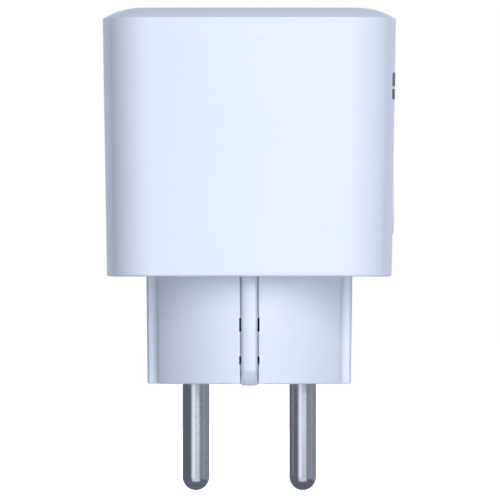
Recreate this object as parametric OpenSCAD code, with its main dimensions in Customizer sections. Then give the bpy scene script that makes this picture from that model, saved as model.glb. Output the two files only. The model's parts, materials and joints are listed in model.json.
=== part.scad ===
// Plug-in power meter: a mains plug below, a switched and metered socket above.
// The origin is the centre of the plug face, +Z points up to the socket and +X to the button.

/* [Plug] */
// Distance between the centres of the two plug pins
pin_spacing = 19; // [18.9:0.05:19.1]
// Diameter of a plug pin
pin_d = 4.8; // [4.7:0.02:4.86]
// Length of a plug pin below the plug face
pin_len = 19; // [18:0.5:20]
// Height of the plug base
base_h = 19.05; // [18.8:0.05:19.6]
// Radius of the round flanks of the plug base
base_r = 18.9; // [18.7:0.05:19.1]
// Half width at which the round flanks end
flank_x = 16.2; // [15.8:0.1:16.6]
// Half width of the plug base over its ears
base_half = 18.3; // [18:0.05:18.5]
// Half depth of an ear
ear_y = 6.5; // [6:0.1:7]
// Width of the guide groove in an ear
guide_w = 5.4; // [5:0.1:5.8]
// Depth of the guide groove
guide_depth = 1.5; // [1.2:0.1:1.8]

/* [Earth strips] */
// Width of an earth strip
strip_w = 2.9; // [2.7:0.1:3.3]
// Thickness of the sheet metal
strip_t = 0.8; // [0.7:0.05:0.9]
// Height above the plug face at which the strip bends inwards
strip_bend = 1.95; // [1.5:0.05:2.4]
// How far the strip's toe reaches below the plug face
strip_toe = 0.3; // [0.1:0.05:0.5]

/* [Body] */
// Half width of the body at its lower edge
body_half_low = 25.35; // [25.2:0.05:25.4]
// Half width of the body at the edge below the top band
body_half_high = 26.1; // [25.95:0.05:26.3]
// Height of the walls up to the top band
wall_h = 45.8; // [45.4:0.05:46.2]
// Height of the parting line above the lower edge
seam_h = 42.45; // [42:0.05:43]
// Radius of the upright corners
corner_r = 8.2; // [7.6:0.1:8.6]
// Radius to which the walls bow outwards
bow_r = 120; // [110:5:160]
// Rise of the top band
dome_h = 1.8; // [1.6:0.05:2]
// Inward run of the top band
dome_run = 5.1; // [4.8:0.05:5.3]
// Thickness of the shell's floor
floor_t = 1.8; // [1.6:0.1:2]
// Half width of the space inside the shell
cavity_half = 23.3; // [23.2:0.05:23.4]

/* [Socket] */
// Radius of the socket recess
recess_r = 19.5; // [19.4:0.05:19.6]
// Depth of the socket recess
recess_depth = 17.5; // [17.3:0.1:17.8]
// Radius of the pin entry holes
entry_r = 2.75; // [2.65:0.05:2.85]
// Angle through which the shutter turns
shutter_turn = 42; // [41:1:43]

/* [Button] */
// Height of the button's centre above the plug face
button_z = 31.9; // [31.5:0.1:32.3]
// Radius of the button cap
button_r = 5.35; // [5.2:0.05:5.5]
// Distance of the button's face from the middle of the body
button_face = 25.69; // [25.62:0.01:25.77]

/* [Badge] */
// Height of the badge's lower edge above the plug face
badge_z = 50.5; // [50:0.1:51]
// Width of the whole badge
badge_w = 22.6; // [20:0.2:24]
// Number of bars in a row
badge_count = 9; // [6:1:10]

/* [Hidden] */
$fn = 64;
// Overlap of joined solids, and how far a cutter runs past a face
eps = 0.01;
over = 1;
// Clearance round screws and sliding pieces
fit = 0.1;

// Plastics and metals
shell_white = "#eef2f7";
base_white = "#e9eef5";
nickel = "#c9cdd2";
steel = "#a9adb3";
copper = "#c08a55";
board_green = "#2f6b45";
dark = "#26282c";

// Levels, from the plug face upwards
z_body = base_h;
z_floor = z_body + floor_t;
flange_t = 1.5;
z_flange = z_floor + flange_t;
z_seam = z_body + seam_h;
z_edge = z_body + wall_h;
z_top = z_edge + dome_h;
z_recess = z_top - recess_depth;
edge_round = 0.45;
post_seat = 2;
cup_floor_t = 2;
z_cup = z_recess - cup_floor_t;
cup_wall = 1.5;
cup_r = recess_r + cup_wall;
frame_t = 1.65;
z_ceiling = z_top - frame_t;
cavity_corner = corner_r - 1.8;
lip_t = 1.1;
lip_drop = 3;
dome_steps = 8;
dome_crown = 0.75;
board_lift = 3.15;
board_t = 1.6;
z_board = z_floor + board_lift;
z_parts = z_board + board_t;
board_half = cavity_half - 0.9;
board_corner = cavity_corner - 0.8;
sheet_t = 0.4;

// Plug base
base_floor = 4;
base_cavity_r = 15.4;
ear_round = base_r + 0.2;
flange_r = base_r + 0.9;
groove_w = strip_w + 0.4;
groove_d = strip_t + 0.3;
toe_lean = 0.9;
toe_groove_d = groove_d + 1.8;
window_w = strip_w + 0.6;
window_d = 5;
window_low = [3.45, 1.45];
window_high = [9.3, 2.4];
pin_gap = 0.05;
neck_r = pin_d / 2 - 0.2;
neck_drop = 0.1;
collar_r = 3.2;
collar_h = 1.5;
tail_r = 1.5;
tail_up = 0.8;
plate_z = base_floor + collar_h;
plate_t = 7;
plate_r = 14;
clamp_y = 10;
clamp_bite = 2.5;
clamp_boss_r = 2.6;

// Posts and screws at the corners
post = 18.6;
pillar_r = 3.2;
post_r = 2.6;
z_post = z_floor + 5.15;
head_r = 2.2;
head_h = 1.5;
shank_r = 1.2;
small_shank_r = 1;
small_head_r = 1.9;
small_head_h = 1.2;
screw_bite = 10;
pilot_wall = 0.6;
board_fixings = [[20.6, 13], [-20.6, 7.4]];

// Socket contacts and shutter
shutter_t = 1.4;
shutter_gap = 0.2;
shutter_r = 13.5;
shutter_hole_r = 3;
z_shutter = z_cup - shutter_gap - shutter_t;
z_block_top = z_shutter - shutter_gap;
block_h = 16;
z_block = z_block_top - block_h;
block_half = [15, 6.5];
pocket_r = 4.3;
contact_r = 3.3;
contact_bore_r = pin_d / 2 + 0.05;
contact_h = 13.6;
z_contact = z_block_top - 0.4 - contact_h;
contact_foot = 2.5;
contact_slot = 0.8;
pivot_r = 2;
spring_r = 3.3;
spring_wire_r = 0.25;
spring_leg_r = 0.3;
spring_turns = 3;
spring_pitch = 0.62;
spring_pocket = 2.25;
spring_pocket_r = 4.2;
lug_y = 9;
lug_t = 2;
lug_half = 3;
foot_r = 1.2;
clamp_band_t = 0.6;
clamp_band_h = 2;
clamp_band_drop = 3.2;
tail_w = 2.4;
tail_t = 0.5;
hub_r = 5.6;
wing_from = -69;
wing_to = 20;
wing_corner = -0.4;
hole_step = 0.3;
hole_flare = 1.1;

// Earth parts inside
bracket_w = 4.4;
arm_y = cup_r + 0.2;
z_bracket = z_parts + 0.6;
z_arm_top = z_ceiling - 0.2;
clip_reach = 17.2;
clip_ring_r = 8;
clip_t = 0.7;
slot_gap = 0.3;
clip_z = z_recess + 7.6;

// Button, switch and side board
button_gap = 0.15;
cap_flange_r = button_r + 0.85;
cap_flange_t = 1;
cap_back = cavity_half - 0.1 - cap_flange_t;
side_x = 17;
side_half_y = 11;
side_top = z_cup - 1.35;
side_face = side_x + board_t;
switch_size = 6;
switch_depth = 2.4;
plunger_r = 1.05;
plunger_tip = cap_back - 0.05;
plunger_root = side_face + 1.7;
plunger_well = 0.9;
badge_rows = [[0, 1.9], [2.3, 2.5]];
badge_let_in = 0.4;
badge_proud = 0.03;
badge_fill = 0.8;

// Pieces on the boards, as [x, y, z] sizes and [x, y] places on the main board
relay_size = [18.6, 7.2, 15.3];
relay_at = [-12.1, -11];
transformer_at = [9.5, -12.8];
core_size = [12.6, 9.6, 11];
core_lift = 1;
core_limb = 2;
winding_size = [8.2, 10.8, 10];
can_r = 4;
can_h = 14.4;
can_x = [-15.9, -7.6];
can_y = 11.6;
film_size = [12.2, 5.6, 11];
film_at = [9.5, 10.2];
disc_r = 4.8;
disc_t = 3.6;
disc_at = [8.6, 17.2];
disc_lift = 6.2;
lead_r = 0.4;
lead_half = 2.5;
lead_h = 3.5;
drum_at = [-8, -18.5];
drum_r = 3.3;
drum_core_r = 2.4;
drum_h = 8.4;
drum_rim = 1;
fuse_at = [-13.4, -18.2];
fuse_r = 1.9;
fuse_h = 7;
fuse_lift = 1.5;
shunt_at = [-16.6, 0];
shunt_size = [6.8, 5, 3];
shunt_foot = 1.2;
shunt_t = 1;
chip_at = [-4.6, 0];
chip_size = [4, 5.2, 1.5];
rectifier_at = [4.8, 0];
rectifier_size = [4, 4.8, 2];
module_half_y = 8;
module_lift = 4.2;
module_t = 0.8;
shield_y = [-4.5, 7.4];
shield_t = 1.8;
shield_margin = 0.4;
light_drop = 4.3;
light_half = 0.8;
light_t = 0.7;
guide_len = 1.9;

// Angle of the walls off the vertical
draft = atan((body_half_high - body_half_low) / wall_h);

// ---- Shared shapes ----

// Half width of the body at a height above the plug face
function half_at(z) = body_half_low + (z - z_body) * (body_half_high - body_half_low) / wall_h;

// Centre of a corner arc that runs smoothly into two bowed walls
function corner_centre(half, r) =
  (-(bow_r - half) + sqrt(2 * pow(bow_r - r, 2) - pow(bow_r - half, 2))) / 2;

// Outline of the body: bowed walls and round corners, anticlockwise
wall_steps = 6;
corner_steps = 8;
function wall_angle(half, r) = atan2(corner_centre(half, r), corner_centre(half, r) - half + bow_r);
function quarter(half, r) = let (c = corner_centre(half, r), a = wall_angle(half, r)) concat(
  [for (i = [0:wall_steps - 1]) let (t = -a + 2 * a * i / wall_steps)
    [half - bow_r + bow_r * cos(t), bow_r * sin(t)]],
  [for (i = [0:corner_steps - 1]) let (t = a + (90 - 2 * a) * i / corner_steps)
    [c + r * cos(t), c + r * sin(t)]]
);
function turned(p, a) = [p.x * cos(a) - p.y * sin(a), p.x * sin(a) + p.y * cos(a)];
function outline(half, r) = [for (k = [0:3], p = quarter(half, r)) turned(p, 90 * k)];
ring_count = 4 * (wall_steps + corner_steps);

// Solid through a stack of outlines, each given as [height, half width, corner radius]
module loft(rings) {
  n = ring_count;
  last = len(rings) - 1;
  points = [for (ring = rings, p = outline(ring[1], ring[2])) [p.x, p.y, ring[0]]];
  lower_tris = [for (k = [0:last - 1], i = [0:n - 1])
    [k * n + i, (k + 1) * n + i, (k + 1) * n + (i + 1) % n]];
  upper_tris = [for (k = [0:last - 1], i = [0:n - 1])
    [k * n + i, (k + 1) * n + (i + 1) % n, k * n + (i + 1) % n]];
  floor_face = [for (i = [0:n - 1]) i];
  roof_face = [for (i = [n - 1:-1:0]) last * n + i];
  polyhedron(points, concat(lower_tris, upper_tris, [floor_face, roof_face]));
}

module rounded_square(half, r) {
  square([2 * half, 2 * (half - r)], center = true);
  square([2 * (half - r), 2 * half], center = true);
  for (x = [-1, 1], y = [-1, 1]) translate([x * (half - r), y * (half - r)]) circle(r);
}

module rounded_block(half, r, z0, z1) {
  translate([0, 0, z0]) linear_extrude(z1 - z0) rounded_square(half, r);
}

// Upright rod or hole from z0 to z1
module rod(x, y, r, z0, z1) {
  translate([x, y, z0]) cylinder(h = z1 - z0, r = r);
}

// Rod along X from x0 to x1
module rod_x(y, z, r, x0, x1) {
  translate([x0, y, z]) rotate([0, 90, 0]) cylinder(h = x1 - x0, r = r);
}

// Block between two opposite corners
module block(low, high) {
  translate(low) cube(high - low);
}

// Copies its children at the four corner posts
module at_posts() {
  for (x = [-post, post], y = [-post, post]) translate([x, y, 0]) children();
}

// Copies its children at the two board fixings
module at_board_fixings() {
  for (p = board_fixings) translate([p.x, p.y, 0]) children();
}

// Copies its children at the two pins
module at_pins() {
  for (s = [-1, 1]) translate([s * pin_spacing / 2, 0, 0]) children();
}

// Block that stands on the main board, centred at a place on it
module on_board(size, at, lift = 0) {
  translate([at.x - size.x / 2, at.y - size.y / 2, z_parts + lift]) cube(size);
}

// Screw with its head below or above the shank
module screw_up(shank, head, head_height, z_head, z_end) {
  rod(0, 0, head, z_head, z_head + head_height);
  rod(0, 0, shank, z_head + head_height - eps, z_end);
}

module screw_down(shank, head, head_height, z_seat, z_end) {
  rod(0, 0, head, z_seat, z_seat + head_height);
  rod(0, 0, shank, z_end, z_seat + eps);
}

// Outline of the plug base: round flanks, flat set-back ears with a guide groove each
module base_outline() {
  intersection() {
    circle(base_r);
    square([2 * flank_x, 3 * base_r], center = true);
  }
  difference() {
    intersection() {
      square([2 * base_half, 2 * ear_y], center = true);
      circle(ear_round);
    }
    for (s = [-1, 1]) translate([s * base_half, 0]) square([2 * guide_depth, guide_w], center = true);
  }
}

// Room for an earth strip in one flank, with the sprung windows beside it
module strip_groove(z_end) {
  outside = -base_r - over;
  block([-groove_w / 2, outside, -over], [groove_w / 2, groove_d - base_r, z_end]);
  block([-groove_w / 2, outside, -over], [groove_w / 2, toe_groove_d - base_r, strip_bend + sheet_t]);
  for (w = [window_low, window_high])
    block([-window_w / 2, outside, w[0]], [window_w / 2, window_d - base_r, w[0] + w[1]]);
}

// ---- Casing ----

module housing_shell() {
  edge = [for (t = [0:30:90]) let (z = z_body + edge_round * (1 - cos(t)), inset = edge_round * (1 - sin(t)))
    [z, half_at(z) - inset, corner_r - inset]];
  color(shell_white) difference() {
    union() {
      difference() {
        loft(concat(edge, [[z_seam, half_at(z_seam), corner_r]]));
        rounded_block(cavity_half, cavity_corner, z_floor, z_seam + over);
      }
      at_posts() rod(0, 0, pillar_r, z_floor - eps, z_post);
      at_board_fixings() rod(0, 0, small_head_r, z_floor - eps, z_board);
    }
    translate([0, 0, z_body - over]) linear_extrude(floor_t + 2 * over) base_outline();
    for (a = [0, 180]) rotate(a)
      block([-groove_w / 2, -base_r - fit, z_body - over], [groove_w / 2, -flank_x, z_floor + over]);
    at_posts() rod(0, 0, head_r + fit, z_body - over, z_post - post_seat);
    at_posts() rod(0, 0, shank_r + fit, z_body, z_post + over);
    at_board_fixings() rod(0, 0, small_shank_r, z_floor + pilot_wall, z_board + over);
    rod_x(0, button_z, button_r + button_gap, cavity_half - 2 * over, body_half_high + over);
    badge_row_bars();
  }
}

// Wall above the parting line, the domed top band and a lip that drops into the shell
module top_frame() {
  lip_half = cavity_half - fit;
  lip_corner = cavity_corner - fit;
  band = [for (i = [0:dome_steps]) let (t = i / dome_steps, run = dome_run * t, crown = dome_crown * t * (1 - t))
    [z_edge + dome_h * (t + crown), body_half_high - run, corner_r - run]];
  color(shell_white) difference() {
    union() {
      loft(concat([[z_seam, half_at(z_seam), corner_r]], band));
      rounded_block(lip_half, lip_corner, z_seam - lip_drop, z_seam + eps);
      at_posts() rod(0, 0, post_r, z_post, z_seam + eps);
    }
    difference() {
      union() {
        rounded_block(lip_half - lip_t, lip_corner - lip_t, z_seam - lip_drop - over, z_seam + over);
        rounded_block(cavity_half - over, lip_corner - lip_t, z_seam, z_ceiling);
      }
      at_posts() rod(0, 0, post_r, z_post, z_top);
    }
    rod(0, 0, recess_r, z_ceiling - over, z_top + over);
    at_posts() rod(0, 0, shank_r, z_post - over, z_post + screw_bite + over);
  }
}

module plug_base() {
  color(base_white) difference() {
    union() {
      linear_extrude(z_floor) base_outline();
      rod(0, 0, flange_r, z_floor, z_flange);
    }
    rod(0, 0, base_cavity_r, base_floor, z_flange + over);
    at_pins() rod(0, 0, pin_d / 2 + pin_gap, -over, base_floor + over);
    for (s = [-1, 1]) rod(0, s * clamp_y, small_shank_r, base_floor - clamp_bite, base_floor + over);
    for (a = [0, 180]) rotate(a) strip_groove(z_flange + over);
  }
}

// Solid pin with a ball end, a neck in the plug face, a collar behind it and a tail to the board
module plug_pin(side) {
  color(nickel) translate([side * pin_spacing / 2, 0, 0]) {
    translate([0, 0, pin_d / 2 - pin_len]) sphere(pin_d / 2);
    rod(0, 0, pin_d / 2, pin_d / 2 - pin_len, -neck_drop);
    rod(0, 0, neck_r, -neck_drop - eps, base_floor + eps);
    rod(0, 0, collar_r, base_floor, plate_z);
    rod(0, 0, tail_r, plate_z - eps, z_parts + tail_up);
  }
}

module live_pin() {
  plug_pin(-1);
}

module neutral_pin() {
  plug_pin(1);
}

// Strip up one flank, with its toe bent in under the plug face
module earth_strip() {
  outer = -base_r;
  inner = strip_t - base_r;
  color(nickel) translate([-strip_w / 2, 0, 0]) rotate([90, 0, 90]) linear_extrude(strip_w) polygon([
    [outer, z_bracket], [outer, strip_bend], [outer + toe_lean, -strip_toe], [inner + toe_lean, -strip_toe],
    [inner, strip_bend], [inner, z_bracket]
  ]);
}

module front_earth_strip() {
  earth_strip();
}

module rear_earth_strip() {
  rotate(180) earth_strip();
}

module pin_clamp_plate() {
  color(dark) difference() {
    union() {
      rod(0, 0, plate_r, plate_z, plate_z + plate_t);
      for (s = [-1, 1]) rod(0, s * clamp_y, clamp_boss_r, base_floor, plate_z + eps);
    }
    at_pins() rod(0, 0, tail_r + fit, 0, z_body);
    for (s = [-1, 1]) rod(0, s * clamp_y, small_shank_r + fit, 0, z_body);
  }
}

module clamp_screws() {
  color(steel) for (s = [-1, 1]) translate([0, s * clamp_y, 0])
    screw_down(small_shank_r, small_head_r, small_head_h, plate_z + plate_t, base_floor - clamp_bite);
}

module housing_screws() {
  color(steel) at_posts() screw_up(shank_r, head_r, head_h, z_post - post_seat - head_h, z_post + screw_bite);
}

// ---- Button and badge ----

module button_cap() {
  color(base_white) {
    rod_x(0, button_z, cap_flange_r, cap_back, cap_back + cap_flange_t);
    rod_x(0, button_z, button_r, cap_back, button_face);
  }
}

// Two rows of bars let into the wall, the upper row taller than the lower
module badge_row_bars() {
  pitch = badge_w / badge_count;
  for (row = badge_rows, i = [0:badge_count - 1])
    let (y = (i + 0.5) * pitch - badge_w / 2, z = badge_z + row[0])
      translate([half_at(z) - bow_r + sqrt(bow_r * bow_r - y * y), y, z]) rotate([0, draft, 0])
        translate([-badge_let_in, -badge_fill * pitch / 2, 0])
          cube([badge_let_in + badge_proud, badge_fill * pitch, row[1]]);
}

module badge_bars() {
  color(dark) badge_row_bars();
}

// ---- Socket ----

// Cup with two guide rails, two pin entries, two lugs under it and a slot for each earth clip
module socket_cup() {
  rail_half = guide_w / 2 - 0.3;
  rail_d = 1.2;
  slot_half = bracket_w / 2 + 2 * fit;
  slot_d = 2.5;
  color(base_white) difference() {
    union() {
      difference() {
        rod(0, 0, cup_r, z_cup, z_ceiling);
        rod(0, 0, recess_r, z_recess, z_ceiling + over);
      }
      for (s = [-1, 1]) intersection() {
        block([s * recess_r - rail_d, -rail_half, z_recess - eps],
          [s * recess_r + rail_d, rail_half, z_ceiling - over]);
        rod(0, 0, cup_r - cup_wall / 3, z_recess - eps, z_ceiling);
      }
      for (s = [-1, 1]) rod(0, s * lug_y, small_head_r + 3 * fit, z_block_top, z_cup + eps);
    }
    at_pins() rod(0, 0, entry_r, z_cup - over, z_recess + over);
    for (s = [-1, 1]) rod(0, s * lug_y, small_shank_r, z_block_top - over, z_recess - 2 * sheet_t);
    for (s = [-1, 1]) block([-slot_half, s * recess_r - slot_d, z_recess + slot_gap],
      [slot_half, s * recess_r + slot_d, z_ceiling - 2 * sheet_t]);
  }
}

// Cross bar under the board parts with an upright arm beside each side of the cup
module earth_bracket() {
  half = bracket_w / 2;
  color(nickel) {
    block([-half, -arm_y - strip_t, z_bracket], [half, arm_y + strip_t, z_bracket + strip_t]);
    for (s = [-1, 1]) block([-half, s * (arm_y + strip_t / 2) - strip_t / 2, z_bracket],
      [half, s * (arm_y + strip_t / 2) + strip_t / 2, z_arm_top]);
  }
}

// Bowed clip that reaches through the cup's slot and presses on the plug's strip
module earth_clip() {
  color(copper) intersection() {
    translate([-bracket_w / 2, -clip_reach - clip_ring_r, clip_z]) rotate([0, 90, 0]) difference() {
      cylinder(h = bracket_w, r = clip_ring_r);
      translate([0, 0, -over]) cylinder(h = bracket_w + 2 * over, r = clip_ring_r - clip_t);
    }
    block([-bracket_w, -arm_y, z_cup], [bracket_w, 0, z_top]);
  }
}

module front_earth_clip() {
  earth_clip();
}

module rear_earth_clip() {
  rotate(180) earth_clip();
}

// Block on four feet, with a pocket for each contact and a pivot with its spring well in the middle
module contact_block() {
  lug_end = lug_y + small_head_r + 0.5;
  color(base_white) difference() {
    union() {
      block([-block_half.x, -block_half.y, z_block], [block_half.x, block_half.y, z_block_top]);
      block([-lug_half, -lug_end, z_block_top - lug_t], [lug_half, lug_end, z_block_top]);
      for (s = [-1, 1], t = [-1, 1])
        rod(s * (block_half.x - 2), t * (block_half.y - foot_r), foot_r, z_parts, z_block + eps);
    }
    at_pins() rod(0, 0, pocket_r, z_block - over, z_block_top + over);
    for (s = [-1, 1]) rod(0, s * lug_y, small_shank_r + fit, z_block_top - lug_t - over, z_block_top + over);
    difference() {
      rod(0, 0, spring_pocket_r, z_block_top - spring_pocket, z_block_top + over);
      rod(0, 0, pivot_r, z_block, z_top);
    }
  }
  color(base_white) rod(0, 0, pivot_r, z_block_top - spring_pocket - eps, z_cup - pin_gap);
}

// Split sleeve that grips a pin, with a tail down to the board
module pin_contact(side) {
  color(copper) translate([side * pin_spacing / 2, 0, 0]) {
    difference() {
      rod(0, 0, contact_r, z_contact, z_contact + contact_h);
      rod(0, 0, contact_bore_r, z_contact - over, z_contact + contact_h + over);
      block([-contact_slot / 2, -2 * contact_r, z_contact + contact_foot],
        [contact_slot / 2, 2 * contact_r, z_contact + contact_h + over]);
    }
    block([-tail_w / 2, contact_r - tail_t, z_parts], [tail_w / 2, contact_r, z_contact + contact_foot]);
  }
}

module live_contact() {
  pin_contact(-1);
}

module neutral_contact() {
  pin_contact(1);
}

// Split spring ring round each contact
module contact_clamps() {
  z0 = z_contact + contact_h - clamp_band_drop;
  color(steel) at_pins() difference() {
    rod(0, 0, contact_r + clamp_band_t, z0, z0 + clamp_band_h);
    rod(0, 0, contact_r, z0 - over, z0 + clamp_band_h + over);
    block([-clamp_band_t, 0, z0 - over], [clamp_band_t, 2 * contact_r, z0 + clamp_band_h + over]);
  }
}

// Two wings on a hub: they cover the pin entries at rest and open when turned
module shutter() {
  reach = 2 * shutter_r;
  color("#e8c9c0") difference() {
    union() {
      rod(0, 0, hub_r, z_shutter, z_shutter + shutter_t);
      for (a = [0, 180]) rotate(a) intersection() {
        rod(0, 0, shutter_r, z_shutter, z_shutter + shutter_t);
        translate([0, 0, z_shutter]) linear_extrude(shutter_t) polygon([
          [0, 0], reach * [cos(wing_from), sin(wing_from)], reach * [1, wing_corner],
          reach * [cos(wing_to), sin(wing_to)]
        ]);
      }
    }
    rod(0, 0, pivot_r + 0.6 * fit, z_shutter - over, z_cup);
    rod(spring_r, 0, spring_leg_r + fit, z_shutter - over, z_cup);
    for (a = [0, 180]) rotate(a - shutter_turn) translate([pin_spacing / 2, 0, z_shutter - eps]) {
      cylinder(h = shutter_t + 2 * eps, r = shutter_hole_r);
      translate([0, 0, hole_step])
        cylinder(h = shutter_t, r1 = shutter_hole_r, r2 = shutter_hole_r + hole_flare);
    }
  }
}

// Coil round the pivot, with one end turned up into the shutter
module shutter_spring() {
  sides = 8;
  steps = 20;
  rings = spring_turns * steps;
  z0 = z_block_top - spring_pocket + spring_wire_r;
  points = [for (i = [0:rings], j = [0:sides - 1])
    let (t = 360 * i / steps, a = 360 * j / sides, r = spring_r + spring_wire_r * cos(a))
      [r * cos(t), r * sin(t), z0 + spring_pitch * t / 360 + spring_wire_r * sin(a)]];
  skin = [for (i = [0:rings - 1], j = [0:sides - 1], half = [0, 1])
    let (k = (j + 1) % sides, b = i * sides, c = (i + 1) * sides)
      half == 0 ? [b + j, c + k, c + j] : [b + j, b + k, c + k]];
  first_end = [for (j = [0:sides - 1]) sides - 1 - j];
  last_end = [for (j = [0:sides - 1]) rings * sides + j];
  color(steel) polyhedron(points, concat(skin, [first_end, last_end]));
  color(steel) rod(spring_r, 0, spring_leg_r, z0 + spring_pitch * spring_turns - spring_leg_r,
    z_shutter + shutter_t - 2 * fit);
}

module block_screws() {
  color(steel) for (s = [-1, 1]) translate([0, s * lug_y, 0])
    screw_up(small_shank_r, small_head_r, small_head_h, z_block_top - lug_t - small_head_h, z_recess - over);
}

// ---- Boards and electronics ----

module insulator_sheet() {
  color(dark) difference() {
    rod(0, 0, flange_r - 2 * fit, z_flange, z_flange + sheet_t);
    at_pins() rod(0, 0, tail_r + sheet_t, z_body, z_board);
    for (a = [0, 180]) rotate(a) strip_groove(z_board);
  }
}

module main_board() {
  color(board_green) difference() {
    rounded_block(board_half, board_corner, z_board, z_parts);
    at_posts() rod(0, 0, pillar_r + 3 * fit, z_board - over, z_parts + over);
    at_board_fixings() rod(0, 0, small_shank_r + fit, z_board - over, z_parts + over);
    at_pins() rod(0, 0, tail_r + fit, z_board - over, z_parts + over);
    for (a = [0, 180]) rotate(a)
      block([-groove_w / 2, -base_r - 2 * fit, z_board - over],
        [groove_w / 2, groove_d + fit - base_r, z_parts + over]);
  }
}

module board_screws() {
  color(steel) at_board_fixings()
    screw_down(small_shank_r, small_head_r, small_head_h, z_parts, z_floor + pilot_wall + fit);
}

module relay() {
  color(dark) on_board(relay_size, relay_at);
}

// Bobbin transformer: a ferrite frame round a taped winding
module transformer() {
  color(dark) difference() {
    on_board(core_size, transformer_at, core_lift);
    on_board([winding_size.x, 2 * core_size.y, core_size.z - 2 * core_limb],
      transformer_at, core_lift + core_limb);
  }
  color("#c9a13b") on_board(winding_size, transformer_at);
}

module smoothing_capacitors() {
  color("#22324f") for (x = can_x) rod(x, can_y, can_r, z_parts, z_parts + can_h);
}

module film_capacitor() {
  color("#d8b13a") on_board(film_size, film_at);
}

module varistor() {
  color("#2f5fa8") {
    translate([disc_at.x, disc_at.y - disc_t / 2, z_parts + disc_lift]) rotate([-90, 0, 0])
      cylinder(h = disc_t, r = disc_r);
    for (s = [-1, 1]) rod(disc_at.x + s * lead_half, disc_at.y, lead_r, z_parts, z_parts + lead_h);
  }
}

module inductor() {
  color(dark) translate([drum_at.x, drum_at.y, z_parts]) {
    cylinder(h = drum_rim, r = drum_r);
    cylinder(h = drum_h, r = drum_core_r);
    translate([0, 0, drum_h - drum_rim]) cylinder(h = drum_rim, r = drum_r);
  }
}

module fuse() {
  color("#7a5230") translate([fuse_at.x, fuse_at.y, z_parts]) {
    cylinder(h = fuse_lift, r = lead_r);
    translate([0, 0, fuse_lift]) cylinder(h = fuse_h, r = fuse_r);
  }
}

// Bridge of resistance alloy with a foot at each end
module shunt_resistor() {
  color(copper) difference() {
    on_board(shunt_size, shunt_at);
    on_board([shunt_size.x - 2 * shunt_foot, shunt_size.y + 2 * over, 2 * (shunt_size.z - shunt_t)],
      shunt_at, shunt_t - shunt_size.z);
  }
}

module metering_chip() {
  color(dark) on_board(chip_size, chip_at);
}

module rectifier() {
  color(dark) on_board(rectifier_size, rectifier_at);
}

module side_board() {
  color(board_green) block([side_x, -side_half_y, z_parts], [side_face, side_half_y, side_top]);
}

module radio_module() {
  color("#1d3557") block([side_face, -module_half_y, button_z + module_lift],
    [side_face + module_t, module_half_y, side_top - 3 * fit]);
}

module radio_shield() {
  x0 = side_face + module_t;
  color(steel) block([x0, shield_y[0], button_z + module_lift + shield_margin],
    [x0 + shield_t, shield_y[1], side_top - 2 * shield_margin]);
}

module tact_switch() {
  half = switch_size / 2;
  color(dark) difference() {
    block([side_face, -half, button_z - half], [side_face + switch_depth, half, button_z + half]);
    rod_x(0, button_z, plunger_r + fit, side_face + plunger_well, side_face + switch_depth + over);
  }
}

module switch_plunger() {
  color("#b9443c") rod_x(0, button_z, plunger_r, plunger_root, plunger_tip);
}

module status_light() {
  z = button_z - light_drop;
  color("#9fd6a8")
    block([side_face, -light_half, z - light_half], [side_face + light_t, light_half, z + light_half]);
}

module light_guide() {
  x0 = side_face + light_t;
  color("#dfeef5") rod_x(0, button_z - light_drop, light_half, x0, x0 + guide_len);
}

housing_shell();
top_frame();
plug_base();
live_pin();
neutral_pin();
front_earth_strip();
rear_earth_strip();
button_cap();
badge_bars();
socket_cup();
earth_bracket();
front_earth_clip();
rear_earth_clip();
contact_block();
live_contact();
neutral_contact();
contact_clamps();
shutter();
shutter_spring();
block_screws();
pin_clamp_plate();
clamp_screws();
insulator_sheet();
main_board();
board_screws();
relay();
transformer();
smoothing_capacitors();
film_capacitor();
varistor();
inductor();
fuse();
shunt_resistor();
metering_chip();
rectifier();
side_board();
radio_module();
radio_shield();
tact_switch();
switch_plunger();
status_light();
light_guide();
housing_screws();
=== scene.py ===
import json
from math import atan2, cos, degrees, hypot, pi, radians, sin, sqrt, tan

import bmesh
import bpy
from mathutils import Matrix, Vector


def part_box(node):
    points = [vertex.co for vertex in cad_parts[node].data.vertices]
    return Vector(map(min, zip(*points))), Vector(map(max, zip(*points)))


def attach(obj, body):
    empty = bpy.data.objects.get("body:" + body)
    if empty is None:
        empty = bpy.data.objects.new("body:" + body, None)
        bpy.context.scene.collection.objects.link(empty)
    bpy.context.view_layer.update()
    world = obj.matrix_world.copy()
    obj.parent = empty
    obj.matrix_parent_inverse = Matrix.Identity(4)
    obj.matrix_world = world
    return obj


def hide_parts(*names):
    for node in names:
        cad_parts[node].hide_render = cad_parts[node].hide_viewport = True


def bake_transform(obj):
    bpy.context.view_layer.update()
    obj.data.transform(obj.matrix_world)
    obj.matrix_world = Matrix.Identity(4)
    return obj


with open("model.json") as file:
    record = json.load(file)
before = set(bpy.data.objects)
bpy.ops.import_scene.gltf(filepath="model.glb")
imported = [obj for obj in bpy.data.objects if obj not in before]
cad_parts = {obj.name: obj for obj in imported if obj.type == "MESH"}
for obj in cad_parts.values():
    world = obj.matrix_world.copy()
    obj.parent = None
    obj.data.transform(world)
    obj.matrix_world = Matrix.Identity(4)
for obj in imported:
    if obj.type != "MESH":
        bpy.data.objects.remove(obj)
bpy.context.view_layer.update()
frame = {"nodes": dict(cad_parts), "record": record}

MM = 0.001
SIDES = (-1, 1)

# ---- Sizes, in metres. What the frame states is read from the frame ----

shell_lo, shell_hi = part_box("housing_shell")
cover_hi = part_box("top_frame")[1]
base_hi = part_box("plug_base")[1]
cup_lo, cup_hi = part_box("socket_cup")
cap_lo, cap_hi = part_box("button_cap")
badge_lo, badge_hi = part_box("badge_bars")
strip_lo, strip_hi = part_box("front_earth_strip")
clip_lo, clip_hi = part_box("front_earth_clip")
pin_lo, pin_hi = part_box("neutral_pin")

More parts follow.
